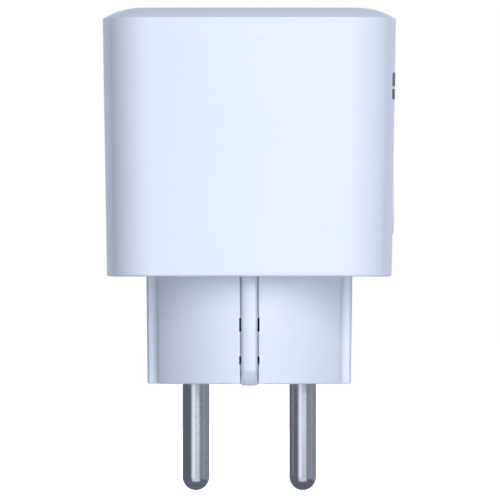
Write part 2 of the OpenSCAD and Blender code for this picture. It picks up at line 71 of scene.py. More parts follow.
# Body
Z_BODY = shell_lo.z
Z_SEAM = shell_hi.z
Z_TOP = cover_hi.z
Z_CEILING = cup_hi.z
DOME_H = 1.8 * MM
DOME_RUN = 5.1 * MM
DOME_CROWN = 0.75
Z_EDGE = Z_TOP - DOME_H
HALF_HIGH = cover_hi.x
HALF_LOW = 25.35 * MM
WALL_SLOPE = (HALF_HIGH - HALF_LOW) / (Z_EDGE - Z_BODY)
BOW_R = 120 * MM
CORNER_R = 8.2 * MM
SEAM_LIP = 0.045 * MM
CAVITY_HALF = 23.3 * MM
CAVITY_R = 6.4 * MM
LIP_GAP = 0.1 * MM
FLOOR_T = 1.8 * MM
Z_FLOOR = Z_BODY + FLOOR_T

# Socket
RECESS_R = 19.5 * MM
CUP_R = cup_hi.x
Z_RECESS = Z_TOP - 17.5 * MM
Z_CUP = Z_RECESS - 2 * MM
ENTRY_R = 2.75 * MM
LUG_Y = 9 * MM

# Corner posts, and the places of the other screws
POST = 18.6 * MM
POSTS = [(x, y) for x in (-POST, POST) for y in (-POST, POST)]
Z_POST_SEAT = Z_FLOOR + 3.15 * MM
PILLAR_R = 3.2 * MM
POST_R = 2.6 * MM
CLAMP_Y = 10 * MM
BOARD_FIXINGS = [(20.6 * MM, 13 * MM), (-20.6 * MM, 7.4 * MM)]
# Head radius, head height and shank radius
LONG_SCREW = (2.2 * MM, 1.5 * MM, 1.2 * MM)
SMALL_SCREW = (1.9 * MM, 1.2 * MM, 1.0 * MM)

# Plug base
BASE_R = 18.9 * MM
EAR_R = 19.1 * MM
BASE_HALF = 18.3 * MM
FLANK_X = 16.2 * MM
EAR_Y = 6.5 * MM
EAR_FILLET = 1.1 * MM
GUIDE_HALF = 2.7 * MM
GUIDE_DEPTH = 1.5 * MM
GROOVE_HALF = 1.65 * MM
GROOVE_D = 1.1 * MM
BASE_DRAFT = 0.011
FLANGE_R = BASE_R + 0.9 * MM
Z_FLANGE = base_hi.z

# Pins, button and the depth by which cutters run past a face
PIN_R = 2.4 * MM
PIN_X = pin_lo.x + (pin_hi.x - pin_lo.x) / 2
BUTTON_Z = (cap_lo.z + cap_hi.z) / 2
CAP_FLANGE = 0.85 * MM
CAP_R = (cap_hi.z - cap_lo.z) / 2 - CAP_FLANGE
OVER = 1 * MM


# ---- Mesh tools ----

def skin(loops, closed=False):
    """A mesh through a stack of loops. A loop of one point is a pole."""
    bm = bmesh.new()
    rows = [[bm.verts.new(p) for p in loop] for loop in loops]
    pairs = list(zip(rows, rows[1:]))
    if closed:
        pairs.append((rows[-1], rows[0]))
    for a, b in pairs:
        n = max(len(a), len(b))
        for i in range(n):
            j = (i + 1) % n
            corners = [a[i % len(a)], a[j % len(a)], b[j % len(b)], b[i % len(b)]]
            bm.faces.new(list(dict.fromkeys(corners)))
    if not closed:
        for row in (rows[0], rows[-1]):
            if len(row) > 2:
                bm.faces.new(row)
    bmesh.ops.recalc_face_normals(bm, faces=bm.faces)
    return bm


def as_object(name, bm):
    mesh = bpy.data.meshes.new(name)
    bm.to_mesh(mesh)
    bm.free()
    obj = bpy.data.objects.new(name, mesh)
    bpy.context.scene.collection.objects.link(obj)
    return obj


def bake(obj):
    """Applies the object's modifiers."""
    graph = bpy.context.evaluated_depsgraph_get()
    mesh = bpy.data.meshes.new_from_object(obj.evaluated_get(graph))
    obj.modifiers.clear()
    obj.data = mesh


def combine(obj, tools, operation):
    """Cuts the tools out of obj, or joins them to it, one after the other."""
    for tool in tools:
        step = obj.modifiers.new("step", "BOOLEAN")
        step.operation = operation
        step.solver = "EXACT"
        step.object = tool
        bake(obj)
        bpy.data.objects.remove(tool)


def cut(obj, tools):
    combine(obj, tools, "DIFFERENCE")


def join(obj, tools):
    combine(obj, tools, "UNION")


def finish_piece(obj, nodes, slot, body="meter", sharp=32):
    """Shades the piece, gives it its slot's material and ties it to the frame.

    body is None for a piece that rides on no body.
    """
    obj.data.shade_smooth()
    obj.data.set_sharp_from_angle(angle=radians(sharp))
    obj.data.materials.clear()
    obj.data.materials.append(MATERIALS[slot])
    if body:
        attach(obj, body)
    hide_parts(*nodes)
    return obj


def circle(r, z, count=96, x=0.0, y=0.0):
    angles = [2 * pi * i / count for i in range(count)]
    return [Vector((x + r * cos(t), y + r * sin(t), z)) for t in angles]


def quarter(steps):
    """Angles from nothing to a right angle, both ends included."""
    return [pi / 2 * i / steps for i in range(steps + 1)]


def lathe(profile, x=0.0, y=0.0, count=96, closed=False):
    """Turns (radius, height) points round an upright axis."""
    loops = [circle(r, z, count, x, y) if r > 0 else [Vector((x, y, z))] for r, z in profile]
    return skin(loops, closed)


def lathe_x(profile, z, count=96):
    """Turns (radius, x) points round an axis along X at height z."""
    bm = lathe(profile, count=count)
    lay_down = Matrix.Translation((0, 0, z)) @ Matrix.Rotation(pi / 2, 4, "Y")
    bmesh.ops.transform(bm, matrix=lay_down, verts=bm.verts)
    return bm


def at(points, z):
    """A flat outline lifted to a height."""
    return [Vector((p[0], p[1], z)) for p in points]


def box_mesh(low, high):
    plan = ((low[0], low[1]), (high[0], low[1]), (high[0], high[1]), (low[0], high[1]))
    return skin([at(plan, z) for z in (low[2], high[2])])


def rounded_box(name, low, high, radius, segments=3):
    bm = box_mesh(low, high)
    bmesh.ops.bevel(bm, geom=bm.edges[:], offset=radius, segments=segments, profile=0.5, affect="EDGES")
    return as_object(name, bm)


def arc(cx, cy, r, start, end, steps):
    """Points of an arc, angles in degrees."""
    angles = [radians(start + (end - start) * i / steps) for i in range(steps + 1)]
    return [(cx + r * cos(t), cy + r * sin(t)) for t in angles]


def soften(points, radius, steps=4, inner=None):
    """Rounds the corners of a closed anticlockwise outline that turn by more than 20 degrees.

    radius is a length or a function of the corner; inner is the radius of inward corners.
    A corner takes at most a share of the sides that meet in it.
    """
    smallest_turn = radians(20)
    share = 0.45
    out = []
    n = len(points)
    for i, p in enumerate(points):
        before = Vector(points[i - 1]) - Vector(p)
        after = Vector(points[(i + 1) % n]) - Vector(p)
        turn = pi - before.angle(after)
        if turn < smallest_turn:
            out.append(Vector(p))
            continue
        size = radius(p) if callable(radius) else radius
        if inner and before.cross(after) > 0:
            size = inner
        reach = min(size * tan(turn / 2), before.length * share, after.length * share)
        size = reach / tan(turn / 2)
        start = Vector(p) + before.normalized() * reach
        way = 1 if before.cross(after) < 0 else -1
        centre = start + Matrix.Rotation(-way * pi / 2, 2) @ before.normalized() * size
        for k in range(steps + 1):
            out.append(centre + Matrix.Rotation(way * turn * k / steps, 2) @ (start - centre))
    return out


def offset(points, distance, weight=lambda p: 1.0):
    """A closed anticlockwise outline moved outwards point by point."""
    out = []
    n = len(points)
    for i, p in enumerate(points):
        back = (p - points[i - 1]).normalized()
        ahead = (points[(i + 1) % n] - p).normalized()
        n1 = Vector((back.y, -back.x))
        n2 = Vector((ahead.y, -ahead.x))
        mid = (n1 + n2).normalized()
        out.append(p + mid * distance * weight(p) / max(mid.dot(n1), 0.5))
    return out


# ---- The body's outline ----

def half_at(z):
    """Half width of the walls at a height."""
    return HALF_LOW + (z - Z_BODY) * WALL_SLOPE


def bowed_square(half, r, wall_steps=28, corner_steps=16):
    """Bowed walls that run smoothly into round corners, anticlockwise.

    The corner's centre lies on the diagonal, where its circle touches both walls' arcs.
    """
    centre = (-(BOW_R - half) + sqrt(2 * (BOW_R - r) ** 2 - (BOW_R - half) ** 2)) / 2
    meeting = atan2(centre, centre - half + BOW_R)
    side = []
    for i in range(wall_steps):
        t = -meeting + 2 * meeting * i / wall_steps
        side.append((half - BOW_R + BOW_R * cos(t), BOW_R * sin(t)))
    for i in range(corner_steps):
        t = meeting + (pi / 2 - 2 * meeting) * i / corner_steps
        side.append((centre + r * cos(t), centre + r * sin(t)))
    out = []
    for k in range(4):
        turn = Matrix.Rotation(k * pi / 2, 2)
        out += [turn @ Vector(p) for p in side]
    return out


def body_loop(z, inset=0.0, half=None):
    half = half_at(z) if half is None else half
    return at(bowed_square(half - inset, CORNER_R - inset), z)


def square_loop(half, r, z):
    """A loop inside the body with as many points as the body's outline."""
    return at(bowed_square(half, r), z)


def wall_x(y, z):
    """Where the right-hand wall lies."""
    return half_at(z) - BOW_R + sqrt(BOW_R ** 2 - y ** 2)


# ---- Materials ----

def add(tree, kind, inputs=None, **settings):
    """A shader node with its settings; an input is a number or another node's socket."""
    node = tree.nodes.new(kind)
    for key, value in settings.items():
        setattr(node, key, value)
    for key, value in (inputs or {}).items():
        if isinstance(value, bpy.types.NodeSocket):
            tree.links.new(value, node.inputs[key])
        else:
            node.inputs[key].default_value = value
    return node


def blank(name):
    material = bpy.data.materials.new(name)
    material.use_nodes = True
    tree = material.node_tree
    shader = tree.nodes["Principled BSDF"]
    where = add(tree, "ShaderNodeTexCoord").outputs["Object"]
    return material, tree, shader, where


def noise(tree, where, scale, detail=3.0, roughness=0.5, stretch=None):
    """Cloudy noise from 0 to 1; scale is in features per metre."""
    if stretch:
        where = add(tree, "ShaderNodeMapping", {"Vector": where, "Scale": stretch}).outputs[0]
    return add(tree, "ShaderNodeTexNoise",
               {"Vector": where, "Scale": scale, "Detail": detail, "Roughness": roughness}).outputs["Fac"]


def spread(tree, value, low, high, from_low=0.3, from_high=0.7):
    """Maps a noise value to a range."""
    return add(tree, "ShaderNodeMapRange", {"Value": value, "From Min": from_low, "From Max": from_high,
                                            "To Min": low, "To Max": high}).outputs[0]


def blend_colour(tree, factor, first, second):
    node = add(tree, "ShaderNodeMix", {0: factor}, data_type="RGBA")
    node.inputs[6].default_value = (*first, 1)
    node.inputs[7].default_value = (*second, 1)
    return node.outputs[2]


def paint(tree, shader, factor, first, second):
    """Mixes two colours into the shader's base colour."""
    tree.links.new(blend_colour(tree, factor, first, second), shader.inputs["Base Color"])


def gloss(tree, shader, value, low, high):
    """Spreads the roughness between two values."""
    tree.links.new(spread(tree, value, low, high), shader.inputs["Roughness"])


def bump(tree, shader, layers):
    """Stacks bump layers given as (height socket, strength, depth in metres)."""
    normal = None
    for height, strength, depth in layers:
        inputs = {"Height": height, "Strength": strength, "Distance": depth}
        if normal:
            inputs["Normal"] = normal
        normal = add(tree, "ShaderNodeBump", inputs).outputs[0]
    tree.links.new(normal, shader.inputs["Normal"])


def plastic(name, colour, worn, roughness, grain=1500, grain_depth=0.004, coat=0.0, ior=1.5):
    """Moulded plastic: a fine eroded grain, faint flow clouds, and handling marks in the gloss."""
    material, tree, shader, where = blank(name)
    cloud = noise(tree, where, 60, 4)
    edge = add(tree, "ShaderNodeNewGeometry").outputs["Pointiness"]
    rub = spread(tree, edge, 0.0, 0.5, 0.52, 0.62)
    tone = add(tree, "ShaderNodeMath", {0: spread(tree, cloud, 0, 0.5), 1: rub}, operation="ADD").outputs[0]
    paint(tree, shader, tone, colour, worn)
    gloss(tree, shader, noise(tree, where, 190, 5, 0.6), roughness - 0.05, roughness + 0.05)
    bump(tree, shader, [(noise(tree, where, grain, 2), 0.25, grain_depth * MM),
                        (cloud, 0.15, 0.01 * MM)])
    shader.inputs["IOR"].default_value = ior
    shader.inputs["Coat Weight"].default_value = coat
    return material


def metal(name, colour, stain, roughness, lines=(1, 1, 40), metallic=1.0, wear=1.0):
    """Plated or bare metal: fine drawn lines, a light stain and small scratches."""
    material, tree, shader, where = blank(name)
    shader.inputs["Metallic"].default_value = metallic
    paint(tree, shader, spread(tree, noise(tree, where, 260, 5, 0.6), 0, 0.6), colour, stain)
    drawn = noise(tree, where, 420, 3, 0.6, lines)
    gloss(tree, shader, drawn, roughness - 0.05 * wear, roughness + 0.06 * wear)
    scratch = noise(tree, where, 900, 2, 0.4, (lines[2], 1, lines[0]))
    bump(tree, shader, [(drawn, 0.2 * wear, 0.003 * MM), (scratch, 0.08 * wear, 0.002 * MM)])
    return material


def board(name, mask, track, pitch=2.54):
    """Circuit board: solder mask over raised copper tracks, with rows of tinned pads."""
    material, tree, shader, where = blank(name)
    tin = (0.62, 0.62, 0.60, 1)
    tracks = add(tree, "ShaderNodeTexBrick", {"Vector": where, "Scale": 1000 / pitch, "Mortar Size": 0.09,
                                              "Mortar Smooth": 0.2, "Brick Width": 2.6, "Row Height": 0.5})
    pads = add(tree, "ShaderNodeTexVoronoi", {"Vector": where, "Scale": 1000 / pitch, "Randomness": 0.25})
    pad = spread(tree, pads.outputs["Distance"], 1, 0, 0.16, 0.20)
    base = blend_colour(tree, tracks.outputs["Fac"], mask, track)
    tinned = add(tree, "ShaderNodeMix", {0: pad, 6: base, 7: tin}, data_type="RGBA").outputs[2]
    tree.links.new(tinned, shader.inputs["Base Color"])
    tree.links.new(pad, shader.inputs["Metallic"])
    gloss(tree, shader, noise(tree, where, 120, 4), 0.24, 0.36)
    bump(tree, shader, [(tracks.outputs["Fac"], 0.4, 0.03 * MM), (pad, 0.5, 0.05 * MM)])
    shader.inputs["Coat Weight"].default_value = 0.3
    return material


def ceramic(name, colour, fleck, roughness=0.55):
    """Fired or sintered body with fine pores."""
    material, tree, shader, where = blank(name)
    pores = noise(tree, where, 1400, 5, 0.7)
    paint(tree, shader, spread(tree, pores, 0, 1, 0.45, 0.7), colour, fleck)
    gloss(tree, shader, noise(tree, where, 150, 3), roughness - 0.08, roughness + 0.08)
    bump(tree, shader, [(pores, 0.35, 0.02 * MM)])
    return material


def paper(name, colour, fibre):
    """Pressed insulating board with long fibres."""
    material, tree, shader, where = blank(name)
    fibres = noise(tree, where, 300, 5, 0.7, (1, 7, 1))
    paint(tree, shader, spread(tree, fibres, 0, 1), colour, fibre)
    gloss(tree, shader, fibres, 0.6, 0.8)
    bump(tree, shader, [(fibres, 0.4, 0.02 * MM)])
    shader.inputs["Sheen Weight"].default_value = 0.1
    return material


def clear_plastic(name):
    """Water-clear light guide with faint flow lines."""
    material, tree, shader, where = blank(name)
    flow = noise(tree, where, 500, 3, 0.5, (1, 5, 5))
    paint(tree, shader, flow, (0.90, 0.95, 0.93), (0.97, 0.98, 0.98))
    gloss(tree, shader, flow, 0.05, 0.12)
    bump(tree, shader, [(flow, 0.1, 0.01 * MM)])
    shader.inputs["Transmission Weight"].default_value = 0.9
    shader.inputs["IOR"].default_value = 1.49
    return material


MATERIALS = {
    "casing_white": plastic("casing_plastic", (0.83, 0.86, 0.91), (0.87, 0.90, 0.95), 0.46),
    "base_white": plastic("base_plastic", (0.78, 0.81, 0.87), (0.83, 0.86, 0.91), 0.42, grain=1200),
    "button_white": plastic("button_plastic", (0.81, 0.84, 0.90), (0.85, 0.88, 0.94), 0.38, grain=2200),
    "badge_ink": plastic("badge_print", (0.035, 0.038, 0.045), (0.06, 0.063, 0.07), 0.5, grain=2600),
    "pin_nickel": metal("pin_nickel_plate", (0.66, 0.67, 0.69), (0.60, 0.60, 0.61), 0.20, wear=0.3),
    "strip_nickel": metal("strip_nickel_plate", (0.70, 0.73, 0.78), (0.65, 0.67, 0.71), 0.45,
                          lines=(40, 1, 1), metallic=0.5),
    "spring_bronze": metal("phosphor_bronze", (0.66, 0.44, 0.26), (0.50, 0.33, 0.20), 0.32),
    "screw_steel": metal("zinc_steel", (0.60, 0.61, 0.63), (0.48, 0.48, 0.49), 0.36),
    "insulator_ivory": plastic("glass_filled_insulator", (0.72, 0.69, 0.61), (0.78, 0.75, 0.68), 0.5,
                               grain=700, grain_depth=0.01),
    "shutter_plastic": plastic("shutter_plastic", (0.62, 0.40, 0.36), (0.68, 0.47, 0.43), 0.34),
    "black_plastic": plastic("black_plastic", (0.012, 0.012, 0.014), (0.022, 0.022, 0.025), 0.45, grain=900),
    "fishpaper": paper("insulating_board", (0.10, 0.10, 0.11), (0.16, 0.15, 0.15)),
    "board_green": board("green_board", (0.02, 0.12, 0.05), (0.04, 0.20, 0.08)),
    "board_blue": board("blue_board", (0.01, 0.05, 0.16), (0.03, 0.10, 0.26), pitch=1.27),
    "ferrite": ceramic("ferrite", (0.035, 0.036, 0.04), (0.07, 0.07, 0.075)),
    "capacitor_sleeve": plastic("capacitor_sleeve", (0.015, 0.03, 0.09), (0.03, 0.05, 0.13), 0.28, coat=0.2),
    "film_yellow": plastic("film_box", (0.78, 0.52, 0.06), (0.84, 0.60, 0.12), 0.34),
    "varistor_blue": plastic("varistor_dip", (0.03, 0.11, 0.42), (0.06, 0.17, 0.50), 0.38,
                             grain=500, grain_depth=0.03),
    "fuse_ceramic": ceramic("fuse_body", (0.30, 0.17, 0.08), (0.36, 0.22, 0.12), 0.4),
    "shunt_alloy": metal("resistance_alloy", (0.62, 0.46, 0.34), (0.48, 0.34, 0.25), 0.38),
    "chip_black": plastic("chip_moulding", (0.018, 0.018, 0.02), (0.03, 0.03, 0.033), 0.55, grain=1800),
    "shield_tin": metal("tinned_shield", (0.70, 0.70, 0.69), (0.60, 0.60, 0.58), 0.28, lines=(30, 1, 1)),
    "plunger_red": plastic("plunger_plastic", (0.45, 0.03, 0.03), (0.52, 0.07, 0.06), 0.36),
    "light_clear": clear_plastic("light_guide_plastic"),
}


# ---- Casing ----

def at_posts(name, profile):
    """A turned piece at each corner post."""
    return [as_object(name, lathe(profile, x, y, 48)) for x, y in POSTS]


def housing():
    """Deep cup with an opening for the plug base, corner pillars with screw wells, and the button's hole."""
    fillet = 0.45 * MM
    wall_steps = 34
    loops = [body_loop(Z_BODY + fillet * (1 - cos(t)), fillet * (1 - sin(t))) for t in quarter(6)[:-1]]
    low, high = Z_BODY + fillet, Z_SEAM - SEAM_LIP
    loops += [body_loop(low + (high - low) * i / wall_steps) for i in range(wall_steps + 1)]
    loops.append(body_loop(Z_SEAM, SEAM_LIP))
    loops.append(square_loop(CAVITY_HALF, CAVITY_R, Z_SEAM))
    loops.append(square_loop(CAVITY_HALF, CAVITY_R, Z_FLOOR))
    shell = as_object("housing_shell_visual", skin(loops))

    base_gap = 0.05 * MM
    opening = offset(base_outline(), base_gap)
    cut(shell, [as_object("opening", skin([at(opening, z) for z in (Z_BODY - OVER, Z_FLOOR + OVER)]))])

    sunk = 0.2 * MM
    join(shell, at_posts("pillar", [(PILLAR_R, Z_FLOOR - sunk), (PILLAR_R, Z_POST_SEAT + 2 * MM)]))
    mouth_r, well_r, shank_r = 2.75 * MM, 2.3 * MM, 1.3 * MM
    well = [(mouth_r, Z_BODY - OVER), (mouth_r, Z_BODY), (well_r, Z_BODY + 0.4 * MM), (well_r, Z_POST_SEAT),
            (shank_r, Z_POST_SEAT), (shank_r, Z_POST_SEAT + 2.85 * MM)]
    cut(shell, at_posts("well", well))

    wall = wall_x(0, BUTTON_Z)
    hole_r = CAP_R + 0.15 * MM
    flare_r = hole_r + 0.25 * MM
    hole = [(hole_r, CAVITY_HALF - 2 * OVER), (hole_r, wall - 0.12 * MM), (flare_r, wall + 0.13 * MM),
            (flare_r, HALF_HIGH + OVER)]
    cut(shell, [as_object("button_hole", lathe_x(hole, BUTTON_Z))])
    finish_piece(shell, ["housing_shell"], "casing_white")


def dome_height(inset):
    """Height of the top band above the wall's edge: a slope that eases off towards the flat top."""
    t = inset / DOME_RUN
    return DOME_H * (t + DOME_CROWN * t * (1 - t))


def cover():
    """Top band with a sloped edge, a flat top round the recess, a lip inside the shell, and corner posts."""
    edge_r = 0.1 * MM
    dome_start = 0.12 * MM
    dome_steps = 22
    wall_steps = 4
    low, high = Z_SEAM + SEAM_LIP, Z_EDGE - edge_r
    loops = [body_loop(Z_SEAM, SEAM_LIP)]
    loops += [body_loop(low + (high - low) * i / wall_steps) for i in range(wall_steps + 1)]
    loops.append(body_loop(Z_EDGE + edge_r * 0.35, 0.02 * MM, HALF_HIGH))
    for i in range(dome_steps + 1):
        inset = dome_start + (DOME_RUN - dome_start) * i / dome_steps
        loops.append(body_loop(Z_EDGE + dome_height(inset), inset, HALF_HIGH))

    rim = 0.45 * MM
    flat = bowed_square(HALF_HIGH - DOME_RUN, CORNER_R - DOME_RUN)
    inner = [p.normalized() * (RECESS_R + rim) for p in flat]
    loops.append(at([p * 0.985 for p in flat], Z_TOP))
    loops.append(at([(a + b) / 2 for a, b in zip(flat, inner)], Z_TOP))
    for t in quarter(5):
        r = RECESS_R + rim * (1 - sin(t))
        loops.append(at([p.normalized() * r for p in flat], Z_TOP - rim * (1 - cos(t))))
    loops.append(at([p.normalized() * RECESS_R for p in flat], Z_CEILING))

    lip_half, lip_r = CAVITY_HALF - LIP_GAP, CAVITY_R - LIP_GAP
    lip_t = 1.1 * MM
    lip_r_inside = 5.2 * MM
    z_lip = Z_SEAM - 3 * MM
    loops.append(square_loop(CAVITY_HALF - 1 * MM, lip_r_inside, Z_CEILING))
    loops.append(square_loop(lip_half - lip_t, lip_r_inside, z_lip))
    loops.append(square_loop(lip_half, lip_r, z_lip))
    loops.append(square_loop(lip_half, lip_r, Z_SEAM))
    top = as_object("top_frame_visual", skin(loops, closed=True))

    sunk = 0.3 * MM
    foot = Z_POST_SEAT + 2.05 * MM
    join(top, at_posts("post", [(POST_R, foot), (POST_R, Z_CEILING + sunk)]))
    finish_piece(top, ["top_frame"], "casing_white")


# ---- Plug side ----

def base_outline():
    """Plan of the plug base: round flanks with a strip groove, ears with a guide groove."""
    flank_y = sqrt(BASE_R ** 2 - FLANK_X ** 2)
    tip_y = sqrt(EAR_R ** 2 - BASE_HALF ** 2)
    ear_x = sqrt(EAR_R ** 2 - EAR_Y ** 2)
    groove_y = sqrt(BASE_R ** 2 - GROOVE_HALF ** 2)
    tip, ear = degrees(atan2(tip_y, BASE_HALF)), degrees(atan2(EAR_Y, ear_x))
    flank, groove = degrees(atan2(flank_y, FLANK_X)), degrees(atan2(groove_y, GROOVE_HALF))
    side = [(BASE_HALF - GUIDE_DEPTH, GUIDE_HALF), (BASE_HALF, GUIDE_HALF)]
    side += arc(0, 0, EAR_R, tip, ear, 1)
    side += arc(FLANK_X + EAR_FILLET, EAR_Y + EAR_FILLET, EAR_FILLET, 270, 180, 6)
    side += arc(0, 0, BASE_R, flank, groove, 28)
    side.append((GROOVE_HALF, BASE_R - GROOVE_D))
    upper = side + [(-x, y) for x, y in reversed(side)]
    lower = [(-x, -y) for x, y in upper]
    groove_edge, ear_edge = 0.2 * MM, 0.32 * MM
    return soften(upper + lower, lambda p: groove_edge if by_groove(p[0]) else ear_edge, inner=0.12 * MM)


def by_groove(x):
    """True on the strip groove's own edges."""
    return abs(x) < 2.55 * MM


def plug_base():
    """Plug moulding: tapered outline on a hidden flange, with pin holes, strip grooves and their windows."""
    edge = 0.28 * MM
    groove_share = 0.35
    wall_steps = 24
    outline = base_outline()

    def ring(z, inset):
        scale = 1 - BASE_DRAFT * (1 - z / Z_BODY)
        pulled_in = offset(outline, -inset, lambda p: groove_share if by_groove(p.x) else 1.0)
        return at([p * scale for p in pulled_in], z)

    loops = [ring(edge * (1 - cos(t)), edge * (1 - sin(t))) for t in quarter(5)[:-1]]
    loops += [ring(edge + (Z_BODY - edge) * i / wall_steps, 0) for i in range(wall_steps + 1)]
    loops.append(at(outline, Z_FLOOR + 0.5 * MM))
    base = as_object("plug_base_visual", skin(loops))
    join(base, [as_object("flange", lathe([(FLANGE_R, Z_FLOOR), (FLANGE_R, Z_FLANGE)]))])

    cavity_r, cavity_floor = 15.4 * MM, 4 * MM
    tools = [as_object("cavity", lathe([(cavity_r, cavity_floor), (cavity_r, Z_FLANGE + OVER)]))]
    hole_r, mouth_r = PIN_R + 0.06 * MM, PIN_R + 0.35 * MM
    mouth = [(mouth_r, -OVER), (mouth_r, 0), (hole_r, 0.3 * MM), (hole_r, cavity_floor + OVER)]
    window_half, window_depth = 1.8 * MM, 5 * MM
    windows = ((3.45 * MM, 4.9 * MM), (9.3 * MM, 11.7 * MM))
    toe_depth, toe_top = 3.0 * MM, 2.35 * MM
    for s in SIDES:
        tools.append(as_object("pin_hole", lathe(mouth, s * PIN_X, 0, 64)))
        for z0, z1 in windows:
            tools.append(flank_cutter("window", s, window_half, window_depth, z0, z1))
        tools.append(flank_cutter("groove", s, GROOVE_HALF, GROOVE_D, Z_FLOOR - OVER, Z_FLANGE + OVER))
        tools.append(flank_cutter("toe_room", s, GROOVE_HALF, toe_depth, -OVER, toe_top))
    cut(base, tools)
    finish_piece(base, ["plug_base"], "base_white")


def flank_cutter(name, side, half, depth, low, high):
    """A box that cuts a slot of a given depth into one round flank."""
    y0, y1 = sorted((side * (BASE_R + OVER), side * (BASE_R - depth)))
    return as_object(name, box_mesh((-half, y0, low), (half, y1, high)))


def plug_pin(name, side):
    """A plug pin: round tip, straight shaft, a collar that the plate locks, and a tail to the board."""
    collar_r, tail_r = 3.2 * MM, 1.5 * MM
    z_collar, z_tail = 4 * MM, 5.5 * MM
    chamfer = 0.3 * MM
    profile = [(0, pin_lo.z)]
    profile += [(PIN_R * sin(t), pin_lo.z + PIN_R * (1 - cos(t))) for t in quarter(14)[1:]]
    profile += [(PIN_R, -8 * MM), (PIN_R, z_collar), (collar_r, z_collar), (collar_r, z_tail)]
    profile += [(tail_r, z_tail), (tail_r, pin_hi.z - chamfer), (tail_r - chamfer, pin_hi.z)]
    pin = as_object(name + "_visual", lathe(profile, side * PIN_X, 0, 72))
    finish_piece(pin, [name], "pin_nickel")


def strip_section(width, bulge, thickness, edge):
    """Cross-section of a stamped strip as (across, out) pairs: crowned outside, flat inside."""
    half = width / 2
    steps = 12
    outer = []
    for i in range(steps + 1):
        u = 2 * i / steps - 1
        past = max(0.0, (abs(u) * half - (half - edge)) / edge)
        drop = edge * (1 - sqrt(max(0.0, 1 - past ** 2)))
        outer.append((u * half, -bulge * u * u - drop))
    inner = [(half, edge - thickness), (half - edge, -thickness)]
    return outer + inner + [(-across, out) for across, out in reversed(inner)]


def sweep_strip(path, section):
    """Carries a strip's section along a path of (y, z) points; its outside is to the left."""
    loops = []
    for i, (y, z) in enumerate(path):
        ahead = path[min(i + 1, len(path) - 1)]
        back = path[max(i - 1, 0)]
        dy, dz = ahead[0] - back[0], ahead[1] - back[1]
        size = hypot(dy, dz)
        out = (-dz / size, dy / size)
        loops.append([Vector((a, y + out[0] * o, z + out[1] * o)) for a, o in section])
    return skin(loops)


def earth_strip(name, turn):
    """An earth strip: straight up the flank, with a toe that leans into the base at its lower end."""
    outer = strip_lo.y
    section = strip_section(2.9 * MM, 0.20 * MM, 0.8 * MM, 0.10 * MM)
    path = [(outer + 0.66 * MM, strip_lo.z), (outer + 0.60 * MM, strip_lo.z + 0.08 * MM)]
    path += [(outer + lean * MM, z * MM) for lean, z in ((0.32, 1.1), (0.05, 2.05), (0.01, 2.3))]
    path += [(outer, z * MM) for z in (2.7, 5, 8, 11, 14, 17, 20)]
    path.append((outer, strip_hi.z))
    bm = sweep_strip(path, section)
    bmesh.ops.rotate(bm, cent=(0, 0, 0), matrix=Matrix.Rotation(turn, 3, "Z"), verts=bm.verts)
    finish_piece(as_object(name + "_visual", bm), [name], "strip_nickel")


# ---- Button and badge ----

def button():
    """Round cap with a rounded edge, a faint dish in its face, and a flange that keeps it in."""
    face = cap_hi.x
    flange_t = 1 * MM
    edge = 0.3 * MM
    dish = 0.12 * MM
    dish_reach = 0.92
    flange_r = CAP_R + CAP_FLANGE
    back, flange_face = cap_lo.x, cap_lo.x + flange_t
    profile = [(0, back), (flange_r, back), (flange_r, flange_face), (CAP_R, flange_face)]
    profile.append((CAP_R, face - 0.4 * MM))
    profile += [(CAP_R - edge * (1 - cos(t)), face - edge * (1 - sin(t))) for t in quarter(6)[1:]]
    profile += [(CAP_R * k, face - dish * (1 - (k / dish_reach) ** 2)) for k in (0.8, 0.6, 0.4, 0.2)]
    profile.append((0, face - dish))
    cap = as_object("button_cap_visual", lathe_x(profile, BUTTON_Z))
    finish_piece(cap, ["button_cap"], "button_white", body="button")


def badge():
    """Two rows of short bars printed on the wall: a plain, generic mark."""
    count = 9
    pitch = (badge_hi.y - badge_lo.y) / (count - 0.2)
    half = 0.4 * pitch
    corner = 0.35 * MM
    rows = ((badge_lo.z, 1.9 * MM), (badge_lo.z + 2.3 * MM, 2.5 * MM))
    sunk, proud, edge = 0.25 * MM, 0.03 * MM, 0.03 * MM
    bars = []
    for z0, height in rows:
        for i in range(count):
            y = (i - (count - 1) / 2) * pitch
            plan = [(y - half, z0), (y + half, z0), (y + half, z0 + height), (y - half, z0 + height)]
            outline = soften([Vector(p) for p in plan], corner, 5)
            loops = [[Vector((wall_x(p.x, p.y) + lift, p.x, p.y)) for p in offset(outline, -inset)]
                     for inset, lift in ((0, -sunk), (0, proud / 2), (edge, proud))]
            bars.append(skin(loops))
    finish_piece(as_object("badge_bars_visual", merged(bars)), ["badge_bars"], "badge_ink")


# ---- Screws ----

def merged(meshes):
    """One mesh from several."""
    whole = meshes[0]
    for part in meshes[1:]:
        mesh = bpy.data.meshes.new("part")
        part.to_mesh(mesh)
        whole.from_mesh(mesh)
        part.free()
        bpy.data.meshes.remove(mesh)
    return whole


def cross(arm, width):
    """Plan of a cross recess: one arm's corners, turned four times."""
    corners = [(arm, -width), (arm, width), (width, width)]
    turns = [Matrix.Rotation(k * pi / 2, 2) for k in range(4)]
    return [turn @ Vector(p) for turn in turns for p in corners]


